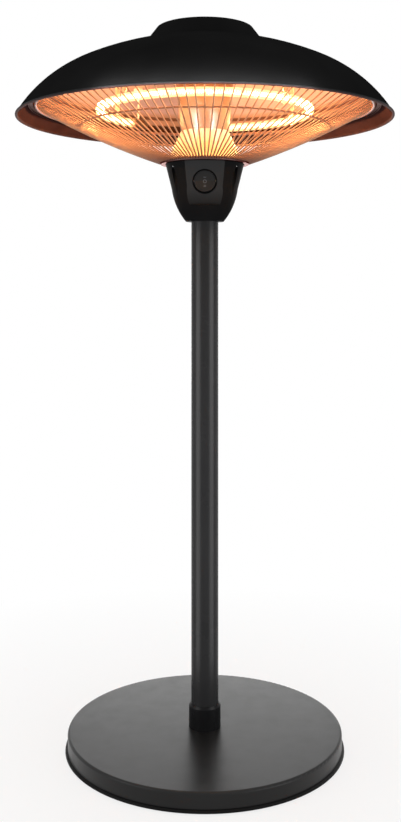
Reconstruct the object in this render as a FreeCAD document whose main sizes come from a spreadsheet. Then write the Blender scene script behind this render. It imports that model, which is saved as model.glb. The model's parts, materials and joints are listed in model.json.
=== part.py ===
import FreeCAD, Part
import math
import os
import re
import Sketcher

# Standing heater. Millimetres, +Z up, the axis of the pole is Z, the switch faces -Y.
# z = 0 is the floor under the rubber feet.

FULL_TURN = 360.0
QUARTER_TURN = 90.0

# Driving sizes: one cell each.
SIZES = [
    # fits
    ("slip_gap", 0.15),
    ("running_gap", 0.05),
    ("weld_gap", 0.15),
    ("rocker_gap", 0.3),
    # pole and collar
    ("pole_dia", 35),
    ("pole_wall", 1.5),
    ("pole_length", 718),
    ("collar_wall", 2.85),
    ("collar_height", 30.5),
    ("collar_web", 5),
    ("collar_chamfer_width", 2),
    ("collar_chamfer_height", 3),
    ("grub_dia", 5),
    ("collar_grub_height", 19),
    # base
    ("foot_height", 3),
    ("foot_dia", 26),
    ("foot_web", 1),
    ("foot_recess_dia", 11),
    ("foot_inset", 33),
    ("foot_screw_dia", 4),
    ("foot_screw_head_dia", 9),
    ("foot_screw_head_height", 1.6),
    ("foot_screw_depth", 10),
    ("cover_dia", 352),
    ("cover_height", 22.5),
    ("cover_sheet", 1.5),
    ("cover_edge_radius", 3),
    ("lip_out", 3),
    ("lip_height", 3.2),
    ("lip_drop", 1),
    ("plate_sheet", 1.5),
    ("plate_gap", 0.5),
    ("ballast_gap", 1),
    ("bolt_dia", 16),
    ("bolt_bore", 10),
    ("bolt_head_dia", 26),
    ("bolt_head_height", 6),
    ("bolt_end", 1),
    ("nut_pocket_dia", 36),
    ("nut_pocket_depth", 11),
    ("bolt_washer_dia", 30),
    ("bolt_washer_sheet", 2),
    ("bolt_nut_dia", 27),
    ("bolt_nut_height", 7),
    ("cord_bore", 7),
    ("grommet_wall", 1.75),
    ("grommet_flange", 1.5),
    ("grommet_flange_sheet", 1.5),
    ("cord_channel_width", 15),
    ("cord_channel_height", 16),
    ("cord_height", 13),
    # flange on the pole's end
    ("flange_rim", 9.35),
    ("flange_thickness", 5),
    ("flange_bore", 26),
    ("flange_tube_wall", 4),
    ("flange_tube_length", 16),
    ("flange_grub_drop", 10),
    ("flange_screw_inset", 4.5),
    ("flange_screw_start", 20),
    ("small_screw_dia", 4),
    ("small_screw_head_dia", 7.5),
    ("small_screw_head_height", 2.6),
    # cup
    ("cup_space", 20.1),
    ("cup_knee_inset", 8.4),
    ("cup_knee_drop", 34),
    ("cup_bottom_land", 7),
    ("cup_height", 75.5),
    ("cup_side_radius", 82),
    ("cup_wall", 2.6),
    ("cup_floor", 3),
    ("panel_inset", 6.8),
    ("panel_tilt", 13.2),
    ("panel_length", 57.3),
    ("panel_tool_depth", 30),
    ("panel_tool_rise", 12),
    ("cup_screw_inset", 5.8),
    ("cup_screw_angle", 56),
    ("channel_dia", 8.5),
    ("channel_wall", 2.25),
    ("cup_screw_seat", 5),
    # switch
    ("switch_drop", 27.4),
    ("rocker_dia", 27.4),
    ("rocker_pivot_depth", 2),
    ("rocker_floor", 2.6),
    ("rocker_dip", 1.6),
    ("rocker_rise", 3),
    ("rocker_rest_tilt", 12),
    ("pin_dia", 2.4),
    ("bezel_wall", 1),
    ("bezel_flange", 0.7),
    ("bezel_flange_sheet", 0.8),
    ("bezel_depth", 8),
    ("switch_back_depth", 2),
    ("switch_block_dia", 24),
    ("switch_block_depth", 3),
    ("tab_width", 4.8),
    ("tab_sheet", 0.8),
    ("tab_length", 2.5),
    ("tab_pitch", 5),
    # terminal block and tip switch, both under the flange
    ("block_width", 22),
    ("block_depth", 12),
    ("block_height", 15),
    ("block_clear", 0.5),
    ("tip_width", 20),
    ("tip_depth", 12),
    ("tip_height", 18),
    ("tip_slot_depth", 9),
    ("tip_pin_drop", 13),
    ("pendulum_sheet", 4),
    ("pendulum_width", 6),
    ("pendulum_length", 13),
    ("pendulum_weight_dia", 9),
    ("pendulum_weight_height", 8),
    # guard
    ("hub_sheet", 1.5),
    ("hub_overhang", 6.9),
    ("hub_rim_width", 4),
    ("hub_rim_height", 4.6),
    ("hub_rim_drop", 2),
    ("hub_rim_round", 1.2),
    ("guard_wire_dia", 1.8),
    ("guard_wire_radius", 1040),
    ("guard_mid_inset", 56.5),
    ("guard_mid_wire", 2.4),
    ("guard_outer_inset", 9),
    ("guard_outer_drop", 0.5),
    ("guard_outer_wire", 4),
    ("guard_clip_width", 10),
    ("guard_clip_sheet", 1),
    ("guard_clip_reach", 13),
    ("guard_clip_hook", 3),
    # column
    ("cone_foot_inset", 1.6),
    ("cone_foot_flange", 13.5),
    ("cone_sheet", 1),
    ("waist_dia", 62),
    ("waist_rise", 39.4),
    ("neck_height", 8),
    ("tube_sheet", 1),
    ("tube_top_dia", 77),
    ("tube_flange_dia", 92),
    ("rivet_dia", 4),
    ("rivet_head_dia", 7),
    ("rivet_head_height", 1.5),
    # reflector
    ("ceiling_rise", 115.5),
    ("reflector_side_run", 74),
    ("reflector_sheet", 1),
    ("reflector_bore", 60),
    ("reflector_side_radius", 110),
    ("reflector_mouth_drop", 45),
    ("reflector_rim_width", 5.5),
    ("reflector_rim_clear", 12.6),
    ("reflector_rim_lip", 1.5),
    # ring lamp
    ("lamp_inset", 10.5),
    ("lamp_drop", 48.6),
    ("lamp_tube_dia", 11),
    ("lamp_tube_wall", 1),
    ("coil_dia", 5),
    ("lamp_gap_start", 85),
    ("lamp_gap_angle", 53),
    ("end_cap_dia", 15),
    ("end_cap_angle", 10),
    ("lead_dia", 2.4),
    ("lead_bend", 6),
    ("lead_rise", 9),
    ("lead_drop_dia", 52),
    ("bush_dia", 9),
    ("bush_flange_dia", 13),
    ("bush_flange_sheet", 2),
    ("bush_height", 6),
    ("hanger_width", 8),
    ("hanger_sheet", 1.2),
    ("hanger_foot", 9),
    ("hanger_front_angle", 45.5),
    ("hanger_back_angle", 119),
    ("clip_wire", 1.6),
    # dome and cap
    ("dome_rim_drop", 15.8),
    ("dome_sheet", 1.2),
    ("dome_crown_angle", 24.648),
    ("dome_shoulder_width", 73.3),
    ("dome_shoulder_rise", 67.73),
    ("dome_lip_out", 2.7),
    ("dome_edge_rise", 4.2),
    ("dome_flat_dia", 150),
    ("dome_lip_dia", 484),
    ("dome_lip_height", 3),
    ("dome_lip_width", 2.6),
    ("dome_lip_round", 1.4),
    ("standoff_dia", 8),
    ("standoff_circle_dia", 120),
    ("standoff_screw_depth", 8),
    ("cap_top_dia", 123.6),
    ("cap_foot_dia", 159),
    ("cap_height", 23.3),
    ("cap_edge_radius", 3),
    ("cap_sheet", 1.2),
    ("stud_dia", 6),
    ("stud_end", 10),
    ("cap_nut_dia", 11.5),
    ("cap_nut_height", 5),
]

# Sizes that follow from the driving ones.
LAYOUT = [
    ("pole_r", "pole_dia / 2"),
    ("plate_top_z", "foot_height + plate_sheet"),
    ("lip_bottom_z", "foot_height - lip_drop"),
    ("lip_top_z", "lip_bottom_z + lip_height"),
    ("cover_r", "cover_dia / 2"),
    ("lip_edge_r", "cover_r + lip_out"),
    ("foot_r", "cover_r - foot_inset"),
    ("cover_in_r", "cover_r - cover_sheet"),
    ("cover_top_z", "lip_bottom_z + cover_height"),
    ("cover_under_z", "cover_top_z - cover_sheet"),
    ("bolt_hole_r", "bolt_dia / 2 + slip_gap"),
    ("nut_seat_z", "plate_top_z + nut_pocket_depth"),
    ("washer_under_z", "nut_seat_z - bolt_washer_sheet"),
    ("nut_under_z", "washer_under_z - bolt_nut_height"),
    ("web_top_z", "cover_top_z + collar_web"),
    ("pole_hole_r", "pole_r + slip_gap"),
    ("collar_r", "pole_hole_r + collar_wall"),
    ("collar_top_z", "cover_top_z + collar_height"),
    ("pole_top_z", "web_top_z + pole_length"),
    ("foot_web_z", "foot_height - foot_web"),
    ("cup_top_z", "pole_top_z + flange_thickness"),
    ("cup_bottom_z", "cup_top_z - cup_height"),
    ("cup_knee_z", "cup_top_z - cup_knee_drop"),
    ("flange_tube_r", "pole_hole_r + flange_tube_wall"),
    ("flange_r", "flange_tube_r + flange_rim"),
    ("flange_screw_r", "flange_r - flange_screw_inset"),
    ("cup_r", "flange_r + cup_space"),
    ("cup_knee_r", "cup_r - cup_knee_inset"),
    ("cup_bottom_r", "pole_r + cup_bottom_land"),
    ("cup_screw_r", "cup_r - cup_screw_inset"),
    ("panel_y", "cup_r - panel_inset"),
    ("cone_foot_r", "cup_r - cone_foot_inset"),
    ("cone_bore_r", "cone_foot_r - cone_foot_flange"),
    ("switch_z", "cup_top_z - switch_drop"),
    ("switch_y", "switch_drop * tan(panel_tilt) - panel_y"),
    ("switch_angle", "90 + panel_tilt"),
    ("pivot_y", "switch_y + rocker_pivot_depth * cos(panel_tilt)"),
    ("pivot_z", "switch_z + rocker_pivot_depth * sin(panel_tilt)"),
    ("rocker_r", "rocker_dia / 2"),
    ("bezel_in_r", "rocker_r + rocker_gap"),
    ("bezel_out_r", "bezel_in_r + bezel_wall"),
    ("switch_back_z", "bezel_depth + switch_back_depth"),
    ("switch_end_z", "switch_back_z + switch_block_depth"),
    ("block_in_r", "flange_tube_r + block_clear"),
    ("tip_mid_r", "block_in_r + tip_depth / 2"),
    ("tip_pin_z", "pole_top_z - tip_pin_drop"),
    ("tip_slot_z", "pole_top_z - tip_height + tip_slot_depth"),
    ("hub_top_z", "cup_top_z + hub_sheet"),
    ("hub_r", "cup_r + hub_overhang"),
    ("hub_rim_z", "cup_top_z - hub_rim_drop"),
    ("hub_rim_top_z", "hub_rim_z + hub_rim_height"),
    ("cone_foot_z", "hub_top_z + cone_sheet"),
    ("waist_z", "hub_top_z + waist_rise"),
    ("waist_r", "waist_dia / 2"),
    ("neck_r", "waist_r - tube_sheet - slip_gap"),
    ("ceiling_z", "cup_top_z + ceiling_rise"),
    ("tube_top_z", "ceiling_z - tube_sheet"),
    ("ceiling_top_z", "ceiling_z + reflector_sheet"),
    ("mouth_z", "ceiling_z - reflector_mouth_drop"),
    ("lip_r", "dome_lip_dia / 2"),
    ("edge_r", "lip_r - dome_lip_out"),
    ("rim_r", "edge_r - dome_sheet - reflector_rim_clear"),
    ("mouth_r", "rim_r - reflector_rim_width"),
    ("ceiling_r", "mouth_r - reflector_side_run"),
    ("outer_ring_r", "rim_r - guard_outer_inset"),
    ("outer_ring_z", "mouth_z - guard_outer_drop"),
    ("wire_in_r", "hub_r + weld_gap + guard_wire_dia / 6"),
    ("wire_in_z", "hub_rim_z + hub_rim_height / 2"),
    ("wire_out_r", "outer_ring_r - guard_outer_wire / 2 - weld_gap - guard_wire_dia / 6"),
    ("wire_out_z", "outer_ring_z"),
    ("wire_run", "wire_out_r - wire_in_r"),
    ("wire_climb", "wire_out_z - wire_in_z"),
    ("wire_chord", "sqrt(wire_run * wire_run + wire_climb * wire_climb)"),
    ("wire_depth", "sqrt(guard_wire_radius * guard_wire_radius - wire_chord * wire_chord / 4)"),
    ("wire_mid_r", "(wire_in_r + wire_out_r) / 2 - wire_climb / wire_chord * wire_depth"),
    ("wire_mid_z", "(wire_in_z + wire_out_z) / 2 + wire_run / wire_chord * wire_depth"),
    ("mid_ring_r", "outer_ring_r - guard_mid_inset"),
    ("mid_ring_reach", "guard_wire_radius - guard_wire_dia / 2 - guard_mid_wire / 2 - weld_gap"),
    ("mid_ring_run", "mid_ring_r - wire_mid_r"),
    ("mid_ring_z", "wire_mid_z - sqrt(mid_ring_reach * mid_ring_reach - mid_ring_run * mid_ring_run)"),
    ("clip_top_z", "mouth_z + reflector_sheet + weld_gap"),
    ("clip_under_z", "outer_ring_z - guard_outer_wire / 2 - weld_gap"),
    ("lamp_r", "ceiling_r - lamp_inset"),
    ("lamp_z", "ceiling_z - lamp_drop"),
    ("lamp_start", "lamp_gap_start + lamp_gap_angle"),
    ("lamp_sweep", "360 - lamp_gap_angle"),
    ("lead_top_z", "ceiling_top_z + lead_rise"),
    ("lead_drop_r", "lead_drop_dia / 2"),
    ("clip_ring_r", "lamp_tube_dia / 2 + clip_wire / 2 + weld_gap"),
    ("hanger_under_z", "lamp_z + clip_ring_r + clip_wire / 2 + weld_gap"),
    ("dome_rim_z", "mouth_z - dome_rim_drop"),
    ("joint_r", "edge_r - dome_shoulder_width"),
    ("joint_z", "dome_rim_z + dome_shoulder_rise"),
    ("joint_sin", "sin(dome_crown_angle)"),
    ("joint_cos", "cos(dome_crown_angle)"),
    ("crown_radius", "joint_r / joint_sin"),
    ("crown_z", "joint_z - crown_radius * joint_cos"),
    ("edge_z", "dome_rim_z + dome_edge_rise"),
    ("edge_run", "edge_r - joint_r"),
    ("edge_climb", "edge_z - joint_z"),
    ("edge_square", "edge_run * edge_run + edge_climb * edge_climb"),
    ("edge_along", "edge_run * joint_sin + edge_climb * joint_cos"),
    ("shoulder_radius", "-edge_square / (2 * edge_along)"),
    ("shoulder_r", "joint_r - shoulder_radius * joint_sin"),
    ("shoulder_z", "joint_z - shoulder_radius * joint_cos"),
    ("edge_sin", "(edge_r - shoulder_r) / shoulder_radius"),
    ("edge_cos", "(edge_z - shoulder_z) / shoulder_radius"),
    ("flat_r", "dome_flat_dia / 2"),
    ("flat_z", "crown_z + sqrt(crown_radius * crown_radius - flat_r * flat_r)"),
    ("flat_under_z", "flat_z - dome_sheet"),
    ("inner_crown_radius", "crown_radius - dome_sheet"),
    ("flat_run", "flat_under_z - crown_z"),
    ("flat_under_r", "sqrt(inner_crown_radius * inner_crown_radius - flat_run * flat_run)"),
    ("cap_foot_r", "cap_foot_dia / 2"),
    ("cap_seat_z", "crown_z + sqrt(crown_radius * crown_radius - cap_foot_r * cap_foot_r)"),
    ("cap_foot_z", "cap_seat_z + weld_gap"),
    ("cap_top_z", "cap_seat_z + cap_height"),
    ("cap_under_z", "cap_top_z - cap_sheet"),
    ("cap_top_r", "cap_top_dia / 2"),
    ("cap_run", "cap_foot_r - cap_top_r"),
    ("cap_climb", "cap_top_z - cap_foot_z"),
    ("cap_side", "sqrt(cap_run * cap_run + cap_climb * cap_climb)"),
    ("cap_round", "cap_edge_radius * (cap_side - cap_run) / cap_climb"),
    ("cap_wall", "cap_sheet * cap_side / cap_climb"),
    ("standoff_r", "standoff_circle_dia / 2"),
    ("standoff_height", "flat_under_z - ceiling_top_z"),
]

doc = FreeCAD.newDocument("standing_heater")


def fill_sheet(name, rows, prefix):
    sheet = doc.addObject("Spreadsheet::Sheet", name)
    for row, (alias, content) in enumerate(rows, start=1):
        sheet.set("A%d" % row, alias)
        sheet.set("B%d" % row, prefix + str(content))
        sheet.setAlias("B%d" % row, alias)
    return sheet


HOME = {alias: "Sizes" for alias, content in SIZES}
HOME.update({alias: "Layout" for alias, content in LAYOUT})


def bound(text):
    """Expression with every size name pointing into its sheet."""
    def point(match):
        word = match.group(0)
        return HOME[word] + "." + word if word in HOME else word
    return re.sub(r"[a-z][a-z_]*", point, text)


sizes = fill_sheet("Sizes", SIZES, "")
layout = fill_sheet("Layout", [(alias, bound(text)) for alias, text in LAYOUT], "=")
doc.recompute()


def value(text):
    """Number that an expression of sizes stands for."""
    result = sizes.evalExpression(bound(text))
    return float(getattr(result, "Value", result))


def bind(item, **expressions):
    for name, text in expressions.items():
        item.setExpression(name, bound(text))


def place(item, x="0", y="0", z="0", axis=(0, 0, 1), angle="0"):
    turn = FreeCAD.Rotation(FreeCAD.Vector(*axis), value(angle))
    item.Placement = FreeCAD.Placement(FreeCAD.Vector(value(x), value(y), value(z)), turn)
    for name, text in (("x", x), ("y", y), ("z", z)):
        item.setExpression("Placement.Base." + name, bound(text))
    if angle != "0":
        item.setExpression("Placement.Rotation.Angle", bound(angle))
    return item


def plane_of(body, role):
    return [item for item in body.Origin.OriginFeatures if item.Role == role][0]


def arc_between(start, end, radius, side):
    """Arc from start to end with its centre on the left or right of the way there."""
    run = end[0] - start[0]
    climb = end[1] - start[1]
    chord = math.hypot(run, climb)
    depth = math.sqrt(radius * radius - chord * chord / 4)
    sign = 1 if side == "left" else -1
    middle_x = (start[0] + end[0]) / 2 - sign * climb / chord * depth
    middle_y = (start[1] + end[1]) / 2 + sign * run / chord * depth
    circle = Part.Circle(FreeCAD.Vector(middle_x, middle_y, 0), FreeCAD.Vector(0, 0, 1), radius)
    first = math.atan2(start[1] - middle_y, start[0] - middle_x)
    last = math.atan2(end[1] - middle_y, end[0] - middle_x)
    if side == "left":
        return Part.ArcOfCircle(circle, first, last)
    return Part.ArcOfCircle(circle, last, first)


def outline(body, plane, corners, closed=True):
    """Sketch through corners (x, y) or (x, y, radius, side): the latter are reached by an arc."""
    sketch = body.newObject("Sketcher::SketchObject", body.Name + "_outline")
    sketch.AttachmentSupport = [(plane_of(body, plane), "")]
    sketch.MapMode = "FlatFace"
    points = [(value(corner[0]), value(corner[1])) for corner in corners]
    heads = []
    tails = []
    stretches = list(zip(range(len(corners)), list(range(1, len(corners))) + [0]))
    if not closed:
        stretches = stretches[:-1]
    for here, there in stretches:
        start = FreeCAD.Vector(points[here][0], points[here][1], 0)
        end = FreeCAD.Vector(points[there][0], points[there][1], 0)
        if len(corners[there]) == 2:
            index = sketch.addGeometry(Part.LineSegment(start, end))
            heads.append((index, 1))
            tails.append((index, 2))
        else:
            radius, side = corners[there][2:]
            index = sketch.addGeometry(arc_between(points[here], points[there], value(radius), side))
            heads.append((index, 1 if side == "left" else 2))
            tails.append((index, 2 if side == "left" else 1))
    for number in range(len(stretches)):
        if closed or number:
            sketch.addConstraint(Sketcher.Constraint("Coincident", *tails[number - 1], *heads[number]))
    pinned = list(zip(heads, corners))
    if not closed:
        pinned.append((tails[-1], corners[-1]))
    for (index, end), corner in pinned:
        for kind, axis, text in (("DistanceX", -2, corner[0]), ("DistanceY", -1, corner[1])):
            if text == "0":
                sketch.addConstraint(Sketcher.Constraint("PointOnObject", index, end, axis))
                continue
            row = sketch.addConstraint(Sketcher.Constraint(kind, -1, 1, index, end, value(text)))
            sketch.setExpression("Constraints[%d]" % row, bound(text))
    for (index, end), (here, there) in zip(heads, stretches):
        if len(corners[there]) > 2:
            row = sketch.addConstraint(Sketcher.Constraint("Radius", index, value(corners[there][2])))
            sketch.setExpression("Constraints[%d]" % row, bound(corners[there][2]))
    return sketch


def turned(label, corners):
    """Body turned about Z from an outline of (radius, height) corners."""
    body = doc.addObject("PartDesign::Body", label)
    sketch = outline(body, "XZ_Plane", corners)
    turn = body.newObject("PartDesign::Revolution", label + "_turn")
    turn.Profile = sketch
    turn.ReferenceAxis = (sketch, ["V_Axis"])
    turn.Angle = FULL_TURN
    return body


def slab(label, plane, corners, width):
    """Body padded to both sides of a plane of its own."""
    body = doc.addObject("PartDesign::Body", label)
    pad = body.newObject("PartDesign::Pad", label + "_pad")
    pad.Profile = outline(body, plane, corners)
    pad.Midplane = True
    bind(pad, Length=width)
    body.Tip = pad
    return body


def bent_rod(label, corners, dia):
    """Round rod along a line in its XZ plane."""
    body = doc.addObject("PartDesign::Body", label)
    spine = outline(body, "XZ_Plane", corners, closed=False)
    section = body.newObject("Sketcher::SketchObject", label + "_section")
    section.AttachmentSupport = [(spine, "Edge1")]
    section.MapMode = "NormalToEdge"
    section.MapPathParameter = 0
    section.addGeometry(Part.Circle(FreeCAD.Vector(0, 0, 0), FreeCAD.Vector(0, 0, 1), value(dia) / 2))
    section.addConstraint(Sketcher.Constraint("Coincident", 0, 3, -1, 1))
    section.addConstraint(Sketcher.Constraint("Diameter", 0, value(dia)))
    section.setExpression("Constraints[1]", bound(dia))
    pipe = body.newObject("PartDesign::AdditivePipe", label + "_pipe")
    pipe.Profile = section
    pipe.Spine = spine
    body.Tip = pipe
    return body


def cylinder(label, dia, height):
    item = doc.addObject("Part::Cylinder", label)
    bind(item, Radius="(" + dia + ") / 2", Height=height)
    return item


def hexagon(label, dia, height):
    """Hexagonal prism; dia is over its corners."""
    item = doc.addObject("Part::Prism", label)
    item.Polygon = 6
    bind(item, Circumradius="(" + dia + ") / 2", Height=height)
    return item


def block(label, length, width, height):
    item = doc.addObject("Part::Box", label)
    bind(item, Length=length, Width=width, Height=height)
    return item


def ring(label, dia, wire, sweep="360"):
    item = doc.addObject("Part::Torus", label)
    bind(item, Radius1="(" + dia + ") / 2", Radius2="(" + wire + ") / 2", Angle3=sweep)
    return item


def around(label, item, angles):
    """Copies of an item turned about Z to each angle, as separate solids of one piece."""
    copies = []
    for number, angle in enumerate(angles):
        copy = doc.addObject("App::Link", "%s_copy_%d" % (label, number))
        copy.LinkedObject = item
        copy.LinkTransform = True
        place(copy, angle=angle)
        copies.append(copy)
    group = doc.addObject("Part::Compound", label)
    group.Links = copies
    return group


def spread(count, first="0"):
    return ["%s + %r" % (first, FULL_TURN / count * number) for number in range(count)]


def together(label, items):
    group = doc.addObject("Part::Compound", label)
    group.Links = items
    return group


def fused(label, items):
    item = doc.addObject("Part::MultiFuse", label)
    item.Shapes = items
    return item


def cut(label, base, *tools):
    item = doc.addObject("Part::Cut", label)
    item.Base = base
    item.Tool = tools[0] if len(tools) == 1 else together(label + "_tools", list(tools))
    return item


def upright(label, dia, height, r, z):
    """Standing cylinder at radius r on the X side, from height z."""
    return place(cylinder(label, dia, height), x=r, z=z)


def screw(label, dia, length, head_dia, head_height, r, z, up=True):
    """Screw at radius r with the underside of its head at z and its shank upward or downward."""
    shank_z = z if up else z + " - (" + length + ")"
    head_z = z + " - " + head_height if up else z
    shank = upright(label + "_shank", dia, length, r, shank_z)
    head = upright(label + "_head", head_dia, head_height, r, head_z)
    return fused(label, [shank, head])


nodes = []


def node(item):
    nodes.append(item)
    return item


# Base

cover_shell = turned("cover_shell", [
    ("bolt_hole_r", "cover_under_z"),
    ("cover_r - cover_edge_radius", "cover_under_z"),
    ("cover_in_r", "cover_top_z - cover_edge_radius", "cover_edge_radius - cover_sheet", "right"),
    ("cover_in_r", "lip_bottom_z"),
    ("lip_edge_r", "lip_bottom_z"),
    ("lip_edge_r", "lip_top_z - lip_out"),
    ("cover_r", "lip_top_z", "lip_out", "left"),
    ("cover_r", "cover_top_z - cover_edge_radius"),
    ("cover_r - cover_edge_radius", "cover_top_z", "cover_edge_radius", "left"),
    ("bolt_hole_r", "cover_top_z"),
])
cord_hole = cylinder("cord_hole", "cord_bore + 2 * grommet_wall + 2 * slip_gap", "cover_dia")
place(cord_hole, z="cord_height", axis=(1, 0, 0), angle="-90")
node(cut("base_cover", cover_shell, cord_hole))

ballast_disc = turned("ballast_disc", [
    ("nut_pocket_dia / 2", "plate_top_z"),
    ("cover_in_r - ballast_gap", "plate_top_z"),
    ("cover_in_r - ballast_gap", "cover_under_z - cover_edge_radius"),
    ("cover_in_r - ballast_gap - cover_edge_radius", "cover_under_z"),
    ("bolt_hole_r", "cover_under_z"),
    ("bolt_hole_r", "nut_seat_z"),
    ("nut_pocket_dia / 2", "nut_seat_z"),
])
channel = block("cord_channel", "cord_channel_width", "cover_r", "cord_channel_height")
place(channel, x="-cord_channel_width / 2", z="plate_top_z")
foot_hole = upright("foot_hole", "foot_screw_dia + 2 * slip_gap",
                    "foot_web + plate_sheet + foot_screw_depth", "foot_r", "foot_web_z")
foot_holes = around("foot_holes", foot_hole, spread(4, "45"))
node(cut("ballast", ballast_disc, channel, foot_holes))

plate_disc = turned("plate_disc", [
    ("nut_pocket_dia / 2", "foot_height"),
    ("cover_in_r - plate_gap", "foot_height"),
    ("cover_in_r - plate_gap", "plate_top_z"),
    ("nut_pocket_dia / 2", "plate_top_z"),
])
node(cut("base_plate", plate_disc, foot_holes))

foot = turned("foot", [
    ("foot_recess_dia / 2", "0"),
    ("foot_dia / 2", "0"),
    ("foot_dia / 2", "foot_height"),
    ("foot_screw_dia / 2 + slip_gap", "foot_height"),
    ("foot_screw_dia / 2 + slip_gap", "foot_web_z"),
    ("foot_recess_dia / 2", "foot_web_z"),
])
place(foot, x="foot_r")
node(around("feet", foot, spread(4, "45")))

foot_screw = screw("foot_screw", "foot_screw_dia", "foot_web + plate_sheet + foot_screw_depth",
                   "foot_screw_head_dia", "foot_screw_head_height", "foot_r", "foot_web_z")
node(around("foot_screws", foot_screw, spread(4, "45")))

bolt_shank = cylinder("bolt_shank", "bolt_dia", "web_top_z - nut_under_z + bolt_end")
place(bolt_shank, z="nut_under_z - bolt_end")
bolt_head = place(hexagon("bolt_head", "bolt_head_dia", "bolt_head_height"), z="web_top_z")
bolt_bore = cylinder("bolt_passage", "bolt_bore", "pole_length")
node(cut("hollow_bolt", fused("bolt_blank", [bolt_shank, bolt_head]), bolt_bore))

washer_disc = place(cylinder("washer_disc", "bolt_washer_dia", "bolt_washer_sheet"), z="washer_under_z")
bolt_hole = cylinder("bolt_hole", "2 * bolt_hole_r", "pole_length")
node(cut("bolt_washer", washer_disc, bolt_hole))
nut_blank = place(hexagon("nut_blank", "bolt_nut_dia", "bolt_nut_height"), z="nut_under_z")
node(cut("bolt_nut", nut_blank, bolt_hole))

grommet = turned("cord_grommet", [
    ("cord_bore / 2", "cover_in_r - grommet_flange_sheet"),
    ("cord_bore / 2 + grommet_wall + grommet_flange", "cover_in_r - grommet_flange_sheet"),
    ("cord_bore / 2 + grommet_wall + grommet_flange", "cover_in_r - 2 * slip_gap"),
    ("cord_bore / 2 + grommet_wall", "cover_in_r - 2 * slip_gap"),
    ("cord_bore / 2 + grommet_wall", "lip_edge_r"),
    ("cord_bore / 2", "lip_edge_r"),
])
place(grommet, z="cord_height", axis=(1, 0, 0), angle="-90")
node(grommet)

collar_blank = turned("collar_blank", [
    ("bolt_hole_r", "cover_top_z"),
    ("collar_r", "cover_top_z"),
    ("collar_r", "collar_top_z - collar_chamfer_height"),
    ("collar_r - collar_chamfer_width", "collar_top_z"),
    ("pole_hole_r", "collar_top_z"),
    ("pole_hole_r", "web_top_z"),
    ("bolt_hole_r", "web_top_z"),
])
collar_grub_hole = cylinder("collar_grub_hole", "grub_dia + 2 * slip_gap", "2 * collar_r")
place(collar_grub_hole, z="cover_top_z + collar_grub_height", axis=(1, 0, 0), angle="-90")
node(cut("pole_collar", collar_blank, collar_grub_hole))
collar_grub = cylinder("collar_grub_screw", "grub_dia", "collar_r - pole_hole_r")
place(collar_grub, y="pole_hole_r", z="cover_top_z + collar_grub_height", axis=(1, 0, 0), angle="-90")
node(collar_grub)

# Pole

node(turned("pole", [
    ("pole_r - pole_wall", "web_top_z"),
    ("pole_r", "web_top_z"),
    ("pole_r", "pole_top_z"),
    ("pole_r - pole_wall", "pole_top_z"),
]))

# Flange on the pole's end

flange_blank = turned("flange_blank", [
    ("pole_hole_r", "pole_top_z - flange_tube_length"),
    ("flange_tube_r", "pole_top_z - flange_tube_length"),
    ("flange_tube_r", "pole_top_z"),
    ("flange_r", "pole_top_z"),
    ("flange_r", "cup_top_z"),
    ("flange_bore / 2", "cup_top_z"),
    ("flange_bore / 2", "pole_top_z"),
    ("pole_hole_r", "pole_top_z"),
])
flange_grub_hole = cylinder("flange_grub_hole", "grub_dia + 2 * slip_gap", "2 * flange_r")
place(flange_grub_hole, x="-flange_r", z="pole_top_z - flange_grub_drop", axis=(0, 1, 0), angle="90")
flange_hole = upright("flange_hole", "small_screw_dia + 2 * slip_gap", "2 * flange_thickness",
                      "flange_screw_r", "pole_top_z")
flange_holes = around("flange_holes", flange_hole, spread(4, "flange_screw_start"))
LEAD_ANGLES = ["lamp_gap_start + end_cap_angle / 2", "lamp_start - end_cap_angle / 2"]
lead_hole = upright("lead_hole", "2 * lead_dia", "2 * flange_thickness", "lead_drop_r", "pole_top_z")
lead_holes = around("lead_holes", lead_hole, LEAD_ANGLES)
node(cut("pole_flange", flange_blank, flange_grub_hole, flange_holes, lead_holes))

flange_grub = cylinder("flange_grub", "grub_dia", "flange_tube_r - pole_hole_r")
place(flange_grub, x="pole_hole_r", z="pole_top_z - flange_grub_drop", axis=(0, 1, 0), angle="90")
node(around("flange_grub_screws", flange_grub, spread(2)))
flange_screw = screw("flange_screw", "small_screw_dia", "hub_sheet + flange_thickness",
                     "small_screw_head_dia", "small_screw_head_height",
                     "flange_screw_r", "hub_top_z", up=False)
node(around("flange_screws", flange_screw, spread(4, "flange_screw_start")))

# Cup that houses the switch

cup_blank = turned("cup_blank", [
    ("0", "cup_bottom_z"),
    ("cup_bottom_r", "cup_bottom_z"),
    ("cup_knee_r", "cup_knee_z", "cup_side_radius", "left"),
    ("cup_r", "cup_top_z"),
    ("0", "cup_top_z"),
])
cup_room = turned("cup_room", [
    ("0", "cup_bottom_z + cup_floor"),
    ("cup_bottom_r", "cup_bottom_z + cup_floor"),
    ("cup_knee_r - cup_wall", "cup_knee_z", "cup_side_radius", "left"),
    ("cup_r - cup_wall", "cup_top_z"),
    ("0", "cup_top_z"),
])


def panel_tool(label, inset):
    """Block in front of the flat panel, reaching inset behind its face."""
    tool = slab(label, "YZ_Plane", [
        ("-panel_tool_depth", "-panel_length - " + inset),
        (inset, "-panel_length - " + inset),
        (inset, "panel_tool_rise"),
        ("-panel_tool_depth", "panel_tool_rise"),
    ], "4 * cup_r")
    return place(tool, y="-panel_y", z="cup_top_z", axis=(1, 0, 0), angle="panel_tilt")


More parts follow.
